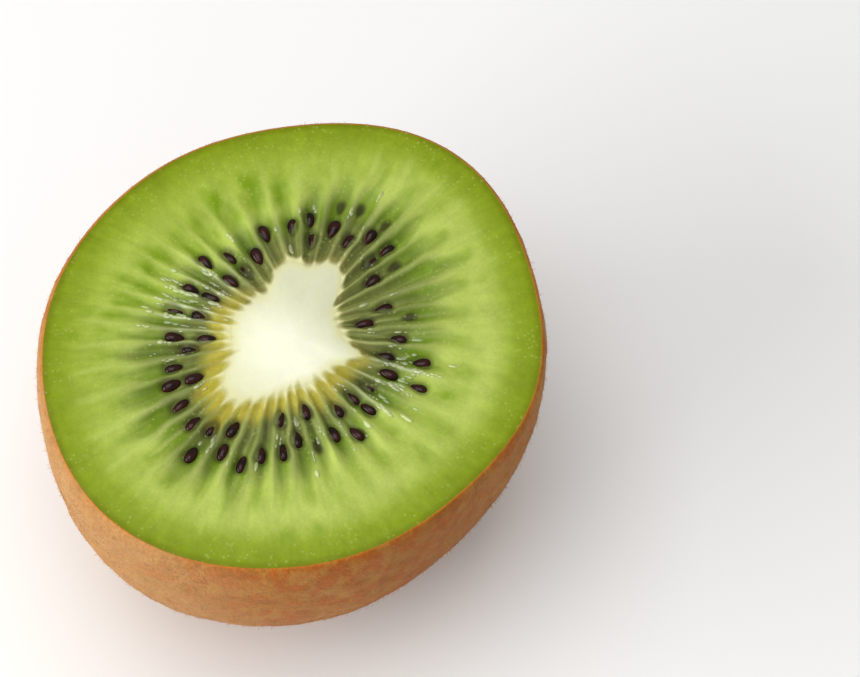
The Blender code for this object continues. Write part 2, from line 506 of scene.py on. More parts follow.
def combined(tree, operation, first, second):
    return add_node(tree, "ShaderNodeMath", "Value", {0: first, 1: second}, operation=operation)


def blended(tree, share, first, second):
    inputs = {"Factor": share, "A": first, "B": second}
    return add_node(tree, "ShaderNodeMix", "Result", inputs, data_type="RGBA")


def bumped(tree, height, depth, strength=1.0):
    inputs = {"Height": height, "Distance": depth * MM, "Strength": strength}
    return add_node(tree, "ShaderNodeBump", "Normal", inputs)


def shaded(tree, light):
    """The painted tone made lighter or darker by a light round 1."""
    inputs = {0: attribute(tree, "tone", "Color"), "Scale": light}
    return add_node(tree, "ShaderNodeVectorMath", "Vector", inputs, operation="SCALE")


def moist_material(name, translucence, wetness, specks, grain):
    """Fruit flesh: painted tones with fine cells and fibres, a wet surface, and some light passing in."""
    material, tree, shader = new_material(name)
    place = object_place(tree)
    cells = noise_texture(tree, place, scale=3200)
    fibres = noise_texture(tree, attribute(tree, "fibre", "Vector"), scale=1.0, detail=3.0, roughness=0.6)
    light = combined(
        tree, "MULTIPLY",
        mapped(tree, cells, 0.3, 0.7, 1 - grain, 1 + grain),
        mapped(tree, fibres, 0.3, 0.7, 1 - 1.3 * grain, 1 + 1.3 * grain),
    )
    dots = add_node(tree, "ShaderNodeTexVoronoi", "Distance", {"Vector": place, "Scale": 1700})
    patches = noise_texture(tree, place, scale=260, detail=1.0)
    dot = combined(
        tree, "MULTIPLY",
        mapped(tree, dots, 0.04, 0.34, 1.0, 0.0, "SMOOTHSTEP"),
        mapped(tree, patches, 0.36, 0.6, 0.0, specks, "SMOOTHSTEP"),
    )
    fill(tree, shader, {
        "Base Color": blended(tree, dot, shaded(tree, light), (*SPECK, 1.0)),
        "Roughness": mapped(tree, cells, 0.3, 0.7, 0.3, 0.5),
        "Normal": bumped(tree, combined(tree, "ADD", cells, fibres), 0.03, 9 * grain),
        "Coat Normal": bumped(tree, noise_texture(tree, place, scale=1500), 0.12, wetness),
        "Subsurface Weight": translucence,
        "Subsurface Radius": (1.0, 0.9, 0.35),
        "Subsurface Scale": 0.8 * MM,
        "Specular IOR Level": 0.1,
        "Coat Weight": 0.06,
        "Coat Roughness": 0.14,
    })
    return material


# The cut face

def drawn(number, key, low, high):
    """A value drawn for each chamber or ray, read by its number."""
    return np.random.default_rng(key).uniform(low, high, CHAMBERS)[number]


def sided(direction, middle, low, high):
    """A share that is 1 round one side of the fruit, centred on middle, and 0 opposite it."""
    return smooth(np.cos(np.radians(direction - middle)), low, high)


def chamber_end(direction):
    """How far from the axis the dark of the seed chambers reaches."""
    mean, stretch = CHAMBER_REACH
    return mean + stretch * np.cos(np.radians(2 * direction))


def ray_point(column, share):
    """A flat point on a ray, where share runs from 0 at the core's edge to 1 at the skin."""
    start, end = ray_ends(column)
    return start + (end - start) * share[:, None]


def chamber_places(column, share, flat, from_core):
    """How each point of the cut face lies to the rays and to the chambers between them."""
    start, end = ray_ends(column)
    half = 180 / CHAMBERS
    spacing = np.hypot(*(ray_point(column + half, share) - ray_point(column - half, share)).T)
    place = np.column_stack([flat, np.zeros(len(flat))])
    wobble = 0.24 * (lattice_noise(place, 2.6, 31) - 0.5) * smooth(from_core, 0, 4)
    turn = column * CHAMBERS / 360 + wobble
    phase = turn % 1
    chamber = np.floor(turn).astype(int) % CHAMBERS
    direction = np.degrees(np.arctan2(flat[:, 1], flat[:, 0]))
    reach = chamber_end(direction) - core_radius(core_direction(column)) + drawn(chamber, 5, -1.2, 1.2)
    drawn_out = np.column_stack([turned(column, UNROLLED_RADIUS), from_core / 6])
    return SimpleNamespace(
        column=column,
        share=share,
        flat=flat,
        place=place,
        direction=direction,
        chamber=chamber,
        ray=np.round(turn).astype(int) % CHAMBERS,
        phase=phase,
        spacing=spacing,
        off_ray=np.minimum(phase, 1 - phase) * spacing,
        off_middle=np.abs(phase - 0.5) * spacing,
        from_core=from_core,
        from_rim=np.hypot(*(end - start).T) - from_core,
        reached=from_core / reach,
        beyond=from_core - reach,
        olive=sided(direction, OLIVE_SIDE, -0.55, 0.35),
        streaks=rough_noise(drawn_out, 0.7, 33, 2),
    )


def face_grid():
    """Points over the cut flesh, in rings from the core's edge to the skin."""
    column = np.tile(360 * np.arange(FACE_STEPS) / FACE_STEPS, FACE_ROWS)
    share = np.repeat(np.linspace(0, 1, FACE_ROWS) ** 1.2, FACE_STEPS)
    start, end = ray_ends(column)
    length = np.hypot(*(end - start).T)
    return chamber_places(column, share, ray_point(column, share), share * length)


def core_grid():
    """Points over the cut core, in rings from its middle to its edge."""
    column = np.tile(360 * np.arange(FACE_STEPS) / FACE_STEPS, CORE_ROWS)
    part = np.repeat(1 - (1 - np.linspace(0, 1, CORE_ROWS + 1)[1:]) ** 1.4, FACE_STEPS)
    inner = core_direction(column)
    edge = core_edge(inner)
    grid = chamber_places(column, np.zeros(len(column)), turned(inner, edge * part), edge * (part - 1))
    grid.part = part
    return grid


def cream(grid):
    """1 where the face is as pale as the core, whose edge the chambers notch."""
    soft = 0.7 + 0.5 * sided(grid.direction, SOFT_CORE_SIDE, -0.4, 0.7)
    notch = drawn(grid.chamber, 6, -0.5, 0.35) + 0.7 * soft * (grid.off_middle / (grid.spacing / 2)) ** 2
    ragged = 0.5 * (lattice_noise(grid.place, 0.7, 49) - 0.5)
    return 1 - smooth(grid.from_core - notch + ragged, -0.5 * soft, 0.7 * soft)


def bare_core(grid):
    """The core's colour, palest in the middle and greyer towards the right."""
    x, y = grid.flat.T
    tone = mix(CORE_MIDDLE, CORE_FAR, smooth(np.hypot(x + 0.8, y + 0.6), 2.0, 8.5))
    tone = mix(tone, CORE_SHADED, smooth(0.9 * x + 0.1 * y, -1.5, 4.5) * 0.9)
    tone = mix(tone, CORE_EDGE, smooth(grid.from_core, -1.3, 0.2) * 0.75)
    return tone * (1 + 0.012 * (rough_noise(grid.place, 2.2, 53) - 0.5))[:, None]


def plain_flesh(grid, clouds):
    """Flesh outside the seed chambers: deep green along the skin, palest about halfway in."""
    tone = mix(FLESH_RIM, FLESH_DEEP, smooth(grid.from_rim, 0.1, 0.9))
    tone = mix(tone, FLESH, smooth(grid.from_rim, 0.5, 4.8))
    side = sided(grid.direction, PALE_FLESH_SIDE, -0.8, 0.8)
    pale = smooth(grid.from_rim, 2.4, 6.6 - side) * smooth(grid.beyond, -3.0, 0.6) * (0.52 + 0.45 * side)
    tone = mix(tone, FLESH_PALE, pale * np.clip(1.6 * clouds - 0.15 + 0.4 * side, 0, 1))
    mottle = rough_noise(grid.place, 0.8, 43, 2)
    light = 0.16 * (clouds - 0.5) + 0.14 * (grid.streaks - 0.5) + 0.1 * (mottle - 0.5)
    return tone * (1 + light)[:, None]


def fringe(grid):
    """The share of deep green that runs on from the chambers in blotches, up to a ring round the fruit."""
    drawn_out = np.column_stack([turned(grid.column, 20.0), grid.from_core / 2.5])
    blotches = smooth(rough_noise(drawn_out, 1.1, 55, 2), 0.3, 0.62)
    aside = grid.off_middle + 0.7 * (lattice_noise(grid.place, 1.1, 57) - 0.5)
    radius = np.hypot(*grid.flat.T) + drawn(grid.chamber, 20, -1.2, 1.6)
    within = smooth(grid.beyond, -2.0, 0.5) * (1 - smooth(radius, FRINGE_END - 2.6, FRINGE_END))
    side = 0.5 + 0.5 * sided(grid.direction, FRINGED_SIDE, -0.3, 0.9)
    return within * bell(aside, 0.38 * grid.spacing) * side * (0.4 + 0.6 * blotches)


def outer_flesh(grid, clouds):
    """The plain flesh with its fringe, the rays' pale ends, and deep green veins between them."""
    tone = mix(plain_flesh(grid, clouds), VEIN, fringe(grid))
    faded = 1 - smooth(grid.beyond, 0.0, drawn(grid.ray, 7, 3.0, 8.0))
    ray_end = bell(grid.off_ray, drawn(grid.ray, 8, 0.22, 0.5)) * faded * smooth(grid.from_rim, 1.5, 4.0)
    tone = mix(tone, RAY_FAR, 0.8 * ray_end)
    aside = grid.off_middle + 0.5 * (lattice_noise(grid.place, 0.9, 45) - 0.5)
    middle = bell(aside, 0.34 + 0.012 * grid.from_core)
    flame = 1 - smooth(grid.beyond, -1.0, drawn(grid.chamber, 15, 0.3, 3.0))
    tone = mix(tone, VEIN, flame * middle * drawn(grid.chamber, 16, 0.5, 0.95))
    strength = np.clip(drawn(grid.chamber, 17, -0.5, 0.65), 0, 1)
    gap = grid.beyond - drawn(grid.chamber, 9, 1.5, 4.2)
    return mix(tone, VEIN, strength * middle * bell(gap, 0.8))


def chamber_tone(grid):
    """The translucent chambers: olive pods at the core, grey green round the seeds, deep green ends, and
    painted shade that darkens each towards one of its rays.
    """
    pod = mix(GREY_OLIVE, OLIVE, grid.olive)
    pod_length = 0.6 + grid.olive * drawn(grid.chamber, 11, 0.8, 2.4)
    tone = mix(pod, GREY_GREEN, smooth(grid.from_core, pod_length * 0.7, pod_length * 1.6))
    tone = mix(tone, DEEP_GREEN, smooth(grid.reached, 0.32, 0.72))
    for key in (21, 23, 25):
        line = np.abs(grid.phase - drawn(grid.chamber, key, 0.22, 0.78)) * grid.spacing
        strength = np.clip(drawn(grid.chamber, key + 1, -0.2, 0.65), 0, 1) * (0.5 + grid.streaks)
        tone = mix(tone, RAY_MIDDLE, strength * bell(line, 0.08 + 0.012 * grid.from_core))
    # Painted shade: each chamber is darker towards one ray and lighter towards the other, as if its surface
    # slanted
    lean = drawn(grid.chamber, 12, -1, 1) * (grid.phase - 0.5) * 2
    mottle = rough_noise(grid.place, 1.1, 39)
    light = 0.22 * lean + 0.5 * (mottle - 0.5) + 0.6 * (grid.streaks - 0.5)
    return tone * (drawn(grid.chamber, 18, 0.82, 1.1) * (1 + light))[:, None]


def chamber_cover(grid):
    """1 inside a chamber: it narrows to a soft point outwards and keeps clear of the rays beside it."""
    ray_half = (0.10 + 0.02 * grid.from_core) * drawn(grid.ray, 13, 0.5, 1.6)
    narrowed = np.clip((1.15 - grid.reached) / 0.45, 0, 1) ** 0.7
    half_width = np.maximum(grid.spacing / 2 - ray_half, 0.05) * narrowed
    aside = grid.off_middle + 0.1 * (lattice_noise(grid.place, 0.8, 47) - 0.5)
    soft = np.clip(grid.reached, 0, 1)
    within = 1 - smooth(aside - half_width, -0.2 - 0.25 * soft, 0.16 + 0.2 * soft)
    return within * (1 - smooth(grid.reached, 0.6, 1.12)) * drawn(grid.chamber, 14, 0.8, 1.0)


def ray_tone(grid):
    """The pale rays between the chambers."""
    tone = mix(mix(RAY_SHADED, RAY_NEAR, grid.olive), RAY_MIDDLE, smooth(grid.from_core, 0.4, 3.0))
    tone = mix(tone, RAY_FAR, smooth(grid.reached, 0.5, 1.0))
    return tone * (drawn(grid.ray, 19, 0.8, 1.15) * (1 + 0.4 * (grid.streaks - 0.5)))[:, None]


def painted_ray_glints(grid):
    """The share of painted highlight on the rays, on the two sides where they shine."""
    side = np.maximum(*(sided(grid.direction, *glint_side) for glint_side in GLINT_SIDES))
    within = smooth(grid.from_core, 0.8, 2.2) * (1 - smooth(grid.from_core, 5.5, 9.0))
    return side * within * drawn(grid.ray, 27, 0.15, 0.8) * bell(grid.off_ray, 0.13) * (0.5 + grid.streaks)


def flesh_tone(grid, seeds):
    """The cut flesh's colour, laid up from the plain flesh to the shade round the seeds."""
    clouds = rough_noise(grid.place, 3.2, 37)
    tone = mix(outer_flesh(grid, clouds), ray_tone(grid), 1 - smooth(grid.reached, 0.75, 1.15))
    tone = mix(tone, chamber_tone(grid), chamber_cover(grid))
    # Painted highlights along the rays on the two glint sides
    tone = mix(tone, PAINTED_RAY_GLINT, painted_ray_glints(grid))
    wash = grid.olive * (1 - smooth(grid.from_core, 0.5, 2.2 + 1.8 * clouds))
    tone = mix(tone, OLIVE * (1 + 0.4 * (grid.streaks - 0.5))[:, None], wash * 0.6)
    tone = mix(tone, bare_core(grid), cream(grid))
    near_sunk = around_seeds(grid.flat, sunk_seed_places(seeds), SEED_LENGTH * 0.9, SEED_WIDTH * 0.8)
    tone = mix(tone, SUNK_SEED, (1 - smooth(near_sunk, 0.5, 1.3)) * 0.8)
    near_seed = around_seeds(grid.flat, seeds)
    return mix(tone, SEED_SHADE, (1 - smooth(near_seed, 0.8, 1.4)) * 0.55)


def core_tone(grid):
    """The cut core's colour, with the chambers' inner ends showing at its edge."""
    return mix(chamber_tone(grid), bare_core(grid), cream(grid))


def face_height(grid, seeds):
    """The cut flesh's height over its points."""
    across = (1 - np.cos(np.radians(grid.column * CHAMBERS))) / 2
    along = np.where(grid.share < CHAMBERS_END, np.sin(np.pi * np.clip(grid.share / CHAMBERS_END, 0, 1)), 0)
    height = HEIGHT - DISH * (1 - grid.share) - CHAMBER_DEPTH * across * along
    near_seed = around_seeds(grid.flat, seeds)
    height -= SEED_DIMPLE * bell(near_seed - 0.9, 0.35)
    inside = smooth(grid.share, 0, 0.04) * (1 - smooth(grid.share, 0.97, 1))
    height += inside * FACE_RELIEF * (rough_noise(grid.place, 1.3, 21, 2) - 0.5)
    return height + inside * FACE_GRAIN * (lattice_noise(grid.place, 0.4, 24) - 0.5)


def make_flesh(seeds):
    """The green flesh: its cut face in full detail, the pocket round the core, and its outside."""
    grid = face_grid()
    column = grid.column[:FACE_STEPS]
    length = (grid.from_core + grid.from_rim)[:FACE_STEPS]
    face = np.column_stack([grid.flat, face_height(grid, seeds)]).reshape(FACE_ROWS, FACE_STEPS, 3)
    pocket = core_sides(column)[::-1]
    outside = flesh_sides(column)
    rings = np.concatenate([pocket, face, outside])
    middle = (0, 0, HEIGHT - CORE_DEPTH)
    bottom = (0, 0, SKIN_THICKNESS)
    face_spread = np.hypot(face[..., 0], face[..., 1]).mean(axis=1) / BAKE_SPAN
    spread = np.concatenate([
        np.linspace(0.01, face_spread[0] * 0.97, len(pocket)),
        face_spread,
        np.linspace(face_spread[-1] + 0.004, BAKE_EDGE, len(outside)),
    ])
    piece = loft("kiwi_flesh_cut", middle, rings, bottom, spread)
    face_tone = flesh_tone(grid, seeds).reshape(face.shape)
    inner_tone = np.broadcast_to(CORE_EDGE, pocket.shape)
    outer_tone = np.broadcast_to(FLESH_RIM, outside.shape)
    all_tones = np.concatenate([inner_tone, face_tone, outer_tone]).reshape(-1, 3)
    paint(piece, np.concatenate([[CORE_EDGE], all_tones, [FLESH_RIM]]))
    along = np.concatenate([
        np.zeros((len(pocket), FACE_STEPS)),
        grid.from_core.reshape(FACE_ROWS, FACE_STEPS),
        np.full((len(outside), FACE_STEPS), length),
    ])
    round_about = np.broadcast_to(turned(column, 24.0), (*along.shape, 2))
    fibre = np.concatenate([round_about, along[..., None] * 0.35], axis=-1).reshape(-1, 3)
    measure(piece, np.concatenate([[[0, 0, 0]], fibre, [[0, 0, 0]]]), "fibre")
    inner_ring = 1 + len(pocket) * FACE_STEPS
    keep_corner_sharp(piece, [inner_ring, inner_ring + (FACE_ROWS - 1) * FACE_STEPS])
    material = moist_material("kiwi flesh", translucence=0.15, wetness=0.5, specks=0.3, grain=0.045)
    dress(piece, material, "kiwi_flesh")


def keep_corner_sharp(piece, starts):
    """Marks whole rings of edges as sharp, so that the face's shading doesn't bend down at its ends."""
    mesh = piece.data
    ends = np.zeros(len(mesh.edges) * 2, int)
    mesh.edges.foreach_get("vertices", ends)
    ends = ends.reshape(-1, 2)
    sharp = np.zeros(len(ends), bool)
    for start in starts:
        ring = (ends >= start) & (ends < start + FACE_STEPS)
        sharp |= ring.all(axis=1)
    layer = mesh.attributes.get("sharp_edge") or mesh.attributes.new("sharp_edge", "BOOLEAN", "EDGE")
    layer.data.foreach_set("value", sharp)


def core_sides(column):
    """Rings down the side of the core from just under its edge to its tip."""
    inner = core_direction(column)
    rings = []
    for step in range(1, CORE_SIDE_ROWS + 1):
        sink = math.sin(math.pi / 2 * step / (CORE_SIDE_ROWS + 1))
        scale = math.sqrt(1 - sink**CORE_TAPER)
        flat = turned(inner, core_edge(inner) * scale)
        rings.append(np.column_stack([flat, np.full(len(column), HEIGHT - CORE_DEPTH * sink)]))
    return np.array(rings)


def make_core():
    """The pale core, which runs down through the flesh."""
    grid = core_grid()
    height = HEIGHT - DISH + CORE_CROWN * (1 - grid.part**2)
    rough = smooth(grid.part, 0.0, 0.3) * (1 - smooth(grid.part, 0.9, 1))
    height += CORE_RELIEF * rough * (rough_noise(grid.place, 1.6, 51) - 0.5)
    top = np.column_stack([grid.flat, height]).reshape(CORE_ROWS, FACE_STEPS, 3)
    sides = core_sides(grid.column[:FACE_STEPS])
    rings = np.concatenate([top, sides])
    first = (0, 0, HEIGHT - DISH + CORE_CROWN)
    last = (0, 0, HEIGHT - CORE_DEPTH)
    spread = np.concatenate([grid.part[::FACE_STEPS] * 0.4, np.linspace(0.41, BAKE_EDGE, len(sides))])
    piece = loft("kiwi_core_cut", first, rings, last, spread)
    side_tone = np.broadcast_to(CORE_EDGE, sides.shape).reshape(-1, 3)
    paint(piece, np.concatenate([[CORE_MIDDLE], core_tone(grid), side_tone, [CORE_EDGE]]))
    fibre = np.column_stack([grid.flat * 0.6, grid.from_core * 0.2])
    blank = np.zeros((len(side_tone) + 1, 3))
    measure(piece, np.concatenate([[[0, 0, 0]], fibre, blank]), "fibre")
    keep_corner_sharp(piece, [1 + (CORE_ROWS - 1) * FACE_STEPS])
    material = moist_material("kiwi core", translucence=0.25, wetness=0.1, specks=0.0, grain=0.01)
    dress(piece, material, "kiwi_core")


# The skin

def skin_profile():
    """The skin's outline from the flat spot to the rim, as scale of the rim, fuzz, and height."""
    reach = HEIGHT - WIDEST_BELOW_FACE + FLATTENED_END
    lowest = math.asin((1 - FLATTENED_END / reach) ** (END_BLUNTNESS / 2))
    climb = lowest * (1 - np.linspace(0, 1, 400))
    low_height = reach * (1 - np.sin(climb) ** (2 / END_BLUNTNESS)) - FLATTENED_END
    low_scale = np.cos(climb) ** (2 / END_BLUNTNESS) * (1 + WIDEST_SWELL)
    below = np.linspace(WIDEST_BELOW_FACE, RIM_BEVEL, 60)[1:]
    high_scale = 1 + WIDEST_SWELL * (1 - (1 - below / WIDEST_BELOW_FACE) ** 2)
    scale = np.concatenate([low_scale, high_scale])
    height = np.concatenate([np.maximum(low_height, 0), HEIGHT - below])
    fuzz = np.clip((HEIGHT - height - RIM_BEVEL) / (FUZZ_STARTS_OVER - RIM_BEVEL), 0, 1)
    way = np.hypot(np.diff(scale) * SKIN_PROFILE_RADIUS, np.diff(height))
    level = np.concatenate([[0], np.cumsum(way)])
    return level / level[-1], scale, fuzz, height


PROFILE = skin_profile()


def skin_point(direction, level, out=0.0):
    """A point of the skin, where level runs from 0 at the flat spot's edge to 1 at the rim."""
    levels, scale, fuzz, height = PROFILE
    offset = (FUZZ - SKIN_UNDER_FUZZ) * np.interp(level, levels, fuzz) + out
    flat = turned(direction, rim_radius(direction) * np.interp(level, levels, scale) + offset)
    return np.concatenate([flat, np.interp(level, levels, height)[..., None]], axis=-1)


def skin_frame(direction, level):
    """Points of the skin with their outward, upward and sideways directions."""
    step = 0.004
    higher = skin_point(direction, np.minimum(level + step, 1))
    up = higher - skin_point(direction, np.maximum(level - step, 0))
    side = skin_point(direction + 0.5, level) - skin_point(direction - 0.5, level)
    up /= np.linalg.norm(up, axis=-1, keepdims=True)
    side /= np.linalg.norm(side, axis=-1, keepdims=True)
    out = np.cross(side, up)
    return skin_point(direction, level), out / np.linalg.norm(out, axis=-1, keepdims=True), up, side


def flesh_sides(column):
    """The outside of the flesh, just inside the skin, from the rim down to the bottom."""
    direction = rim_direction(column)
    rings = []
    for level in FLESH_SIDE_LEVELS:
        point, out, _, _ = skin_frame(direction, np.full(len(column), level))
        rings.append(point - out * SKIN_THICKNESS * 0.98)
    return np.array(rings)


def skin_tone(points):
    """Golden brown skin with soft tan and rusty mottles, drawn out a little along the fruit, and a painted
    pale haze of light on the side that faces the left lamp.
    """
    drawn_out = points * (1, 1, 0.6)
    direction = np.degrees(np.arctan2(points[:, 1], points[:, 0]))
    tone = mix(SKIN_BROWN, SKIN_TAN, smooth(rough_noise(points, 4.2, 61), 0.4, 0.66) * 0.6)
    rust = 0.45 + 0.4 * sided(direction, RUSTY_SKIN_SIDE, 0.3, 1.0)
    tone = mix(tone, SKIN_RUST, smooth(rough_noise(drawn_out, 0.85, 65, 2), 0.4, 0.6) * rust)
    tone = mix(tone, SKIN_DARK, smooth(rough_noise(drawn_out, 0.75, 69, 2), 0.52, 0.75) * 0.35)
    # Painted light: a pale haze on the side of the skin that faces the left lamp, which the hairs take on
    # too
    pale = sided(direction, LIT_SKIN_SIDE, 0.6, 1.0) * (0.25 + 0.5 * rough_noise(points, 2.4, 75))
    return mix(tone, SKIN_PAINTED_LIGHT, pale) * (0.92 + 0.16 * lattice_noise(points, 0.5, 73))[:, None]


def skin_lumps(points, level):
    """How far the uneven skin stands out from its plain form."""
    faded = smooth(level, 0.0, 0.05) * (1 - smooth(level, 0.985, 1))
    return SKIN_LUMPS * (rough_noise(points, 2.0, 81) - 0.5) * faded


def skin_material():
    material, tree, shader = new_material("kiwi skin")
    grain = noise_texture(tree, object_place(tree), scale=2600, detail=3.0, roughness=0.65)
    fill(tree, shader, {
        "Base Color": shaded(tree, mapped(tree, grain, 0.3, 0.7, 0.84, 1.16)),
        "Roughness": mapped(tree, grain, 0.3, 0.7, 0.7, 0.95),
        "Normal": bumped(tree, grain, 0.15),
        "Specular IOR Level": 0.2,
        "Sheen Weight": 0.2,
        "Sheen Roughness": 0.4,
        "Sheen Tint": SHEEN_TINT,
    })
    return material


def make_skin():
    """The thin brown skin, uneven and slightly lumpy, with its cut edge round the face."""
    direction = 360 * np.arange(SKIN_STEPS) / SKIN_STEPS
    outer = []
    for level in np.append(np.linspace(0, 0.995, SKIN_ROWS), 1):
        point, out, _, _ = skin_frame(direction, np.full(SKIN_STEPS, level))
        outer.append(point + out * skin_lumps(point, level)[:, None])
    outer = np.array(outer)
    outer[..., 2] = np.maximum(outer[..., 2], 0)
    ragged = 0.06 * (lattice_noise(outer[-1], 0.7, 85) - 0.5)
    lip = []
    for share in LIP_SHARES:
        flat = turned(direction, rim_radius(direction) - RIM_BEVEL * share)
        height = HEIGHT - RIM_BEVEL * (1 - share) + 0.05 * math.sin(math.pi * share) + ragged * (1 - share)
        lip.append(np.column_stack([flat, height]))
    inner = []
    for level in SKIN_INSIDE_LEVELS:
        point, out, _, _ = skin_frame(direction, np.full(SKIN_STEPS, level))
        inner.append(point - out * SKIN_THICKNESS)
    rings = np.concatenate([outer, lip, inner])
    spread = np.concatenate([
        np.linspace(0.08, 0.45, len(outer)),
        np.linspace(0.452, 0.462, len(lip)),
        np.linspace(0.465, BAKE_EDGE, len(inner)),
    ])
    first = (0, 0, 0)
    last = (0, 0, SKIN_THICKNESS)
    piece = loft("kiwi_skin", first, rings, last, spread)
    points = np.concatenate([[first], rings.reshape(-1, 3), [last]])
    ring_number = (np.arange(len(points)) - 1) // SKIN_STEPS
    on_lip = (ring_number > len(outer)) & (ring_number < len(outer) + len(lip))
    lip_share = on_lip * (0.25 + 0.6 * smooth(rough_noise(points, 3.0, 87), 0.3, 0.6))
    paint(piece, mix(skin_tone(points), SKIN_LIP, lip_share))
    dress(piece, skin_material(), "kiwi_flesh")


# Fuzz

def hairs(centres, tips, sideways, width):
    """Closed three-sided hairs with a ring of points round each centre, slimmer each time, and a tip."""
    axis = tips - centres[0]
    axis /= np.linalg.norm(axis, axis=1, keepdims=True)
    second = np.cross(axis, sideways)
    tip = 3 * len(centres)
    points = np.zeros((len(tips), tip + 1, 3))
    points[:, tip] = tips
    rows = [[0, 2, 1]]
    for corner in range(3):
        turn = 2 * math.pi * corner / 3 + math.pi / 2
        around = math.cos(turn) * sideways + HAIR_FLATNESS * math.sin(turn) * second
        for ring, centre in enumerate(centres):
            points[:, 3 * ring + corner] = centre + HAIR_SLIMMING**ring * width[:, None] * around
        after = (corner + 1) % 3
        for low in range(0, tip - 3, 3):
            rows.append([low + corner, low + after, low + 3 + after])
            rows.append([low + corner, low + 3 + after, low + 3 + corner])
        rows.append([tip - 3 + corner, tip - 3 + after, tip])
    faces = np.array(rows) + np.arange(len(tips))[:, None, None] * (tip + 1)
    return points.reshape(-1, 3), faces.reshape(-1, 3)


def fuzz_material(name):
    """Dry hair in the tone of the skin that it grows from, with lighter and darker patches."""
    material, tree, shader = new_material(name)
    place = attribute(tree, "root", "Vector")
    patches = noise_texture(tree, place, scale=0.9, detail=3.0, roughness=0.6)
    fill(tree, shader, {
        "Base Color": shaded(tree, mapped(tree, patches, 0.3, 0.7, 0.9, 1.1)),
        "Roughness": mapped(tree, patches, 0.3, 0.7, 0.55, 0.8),
        "Specular IOR Level": 0.2,
        "Sheen Weight": 0.45,
        "Sheen Roughness": 0.32,
        "Sheen Tint": SHEEN_TINT,
    })
    return material


def scatter(draw, count):
    """Directions and levels spread evenly over the skin's area."""
    levels, scale, _, _ = PROFILE
    share = np.concatenate([[0], np.cumsum((scale[1:] + scale[:-1]) / 2 * np.diff(levels))])
    level = np.interp(draw.random(count) * share[-1], share, levels)
    return draw.uniform(0, 360, count), np.minimum(level, FUZZ_TOP)


def over_skin(plain, out, level, along, above):
    """Points a step along the plain skin and a height above its lumps."""
    points = plain + along
    return points + out * (above + skin_lumps(points, level))[:, None]


def fuzz_piece(kind, draw, direction, level):
    """Hairs of one kind that lie along the skin in swirls and lean out from it."""
    count = len(level)
    length = draw.uniform(*kind.length, count)
    lift = np.radians(draw.uniform(*kind.lift, count))
    width = draw.uniform(*kind.width, count)
    plain, out, up, side = skin_frame(direction, level)
    root = over_skin(plain, out, level, 0.0, 0.0)
    heading = 2 * math.pi * (lattice_noise(root, 7.0, 91) * kind.swirl) + draw.normal(0, 0.55, count)
    flow = -up * np.cos(heading)[:, None] + side * np.sin(heading)[:, None]
    stretch = length / len(kind.leans)
    along = np.zeros(count)
    above = np.zeros(count)
    centres = [root - out * HAIR_ROOT_DEPTH]
    for lean in kind.leans:
        along = along + stretch * np.cos(lift * lean)
        above = above + stretch * np.sin(lift * lean)
        centres.append(over_skin(plain, out, level, flow * along[:, None], above))
    points, faces = hairs(centres[:-1], centres[-1], np.cross(out, flow), width)
    points[:, 2] = np.clip(points[:, 2], 0.02, HEIGHT)
    piece = new_piece(kind.name, points, faces, smoothed=False)
    each = len(points) // count
    tone = mix(skin_tone(plain), srgb(*kind.tint), np.full(count, kind.tinted))
    paint(piece, np.repeat(tone, each, axis=0))
    measure(piece, np.repeat(root, each, axis=0), "root")
    flat = np.repeat(BAKE_MIDDLE + turned(direction, 0.08 + 0.37 * level), each, axis=0)
    flat += (points[:, :2] - np.repeat(root[:, :2], each, axis=0)) * 0.004
    lay_out(piece, flat[corner_points(piece)])
    dress(piece, fuzz_material(kind.name), "kiwi_flesh")


def make_fuzz():
    """A felt of short hairs all over the skin, rusty tufts, and some longer hairs."""
    draw = np.random.default_rng(17)
    fuzz_piece(FELT, draw, *scatter(draw, FELT_HAIRS))
    direction, level = scatter(draw, TUFT_CLUMPS)
    count = TUFT_CLUMPS * TUFT_HAIRS
    level = np.repeat(level, TUFT_HAIRS) + draw.normal(0, 0.006, count)
    reach = rim_radius(0) * 0.9
    direction = np.repeat(direction, TUFT_HAIRS) + np.degrees(draw.normal(0, 0.28, count) / reach)
    fuzz_piece(TUFTS, draw, direction, np.clip(level, 0, FUZZ_TOP))
    fuzz_piece(LONG, draw, *scatter(draw, LONG_HAIRS))


# Seeds and juice

def seed_material():
    material, tree, shader = new_material("kiwi seed")
    spots = noise_texture(tree, object_place(tree), scale=1400)
    share = mapped(tree, spots, 0.35, 0.65, 0, 1, "SMOOTHSTEP")
    fill(tree, shader, {
        "Base Color": blended(tree, share, (*SEED_DARK, 1.0), (*SEED_LIGHT, 1.0)),
        "Roughness": mapped(tree, spots, 0.3, 0.7, 0.4, 0.6),
        "Normal": bumped(tree, spots, 0.03),
        "Specular IOR Level": 0.05,
        "Coat Weight": 0.4,
        "Coat Roughness": 0.05,
    })
    return material


def unit_ball(round_steps, rows):
    """Points and faces of a ball of radius 1 about the middle, with its poles on the Z axis."""
    points = [(0, 0, 1)]
    for row in range(1, rows):
        tilt = math.pi * row / rows
        for step in range(round_steps):
            turn = 2 * math.pi * step / round_steps
            points.append((math.sin(tilt) * math.cos(turn), math.sin(tilt) * math.sin(turn), math.cos(tilt)))
    points.append((0, 0, -1))
    faces = []
    for step in range(round_steps):
        after = (step + 1) % round_steps
        faces.append((0, 1 + step, 1 + after))
        for row in range(rows - 2):
            upper = 1 + row * round_steps
            lower = upper + round_steps
            faces.append((upper + step, lower + step, lower + after, upper + after))
        final = 1 + (rows - 2) * round_steps
        faces.append((final + step, len(points) - 1, final + after))
    return np.array(points), faces


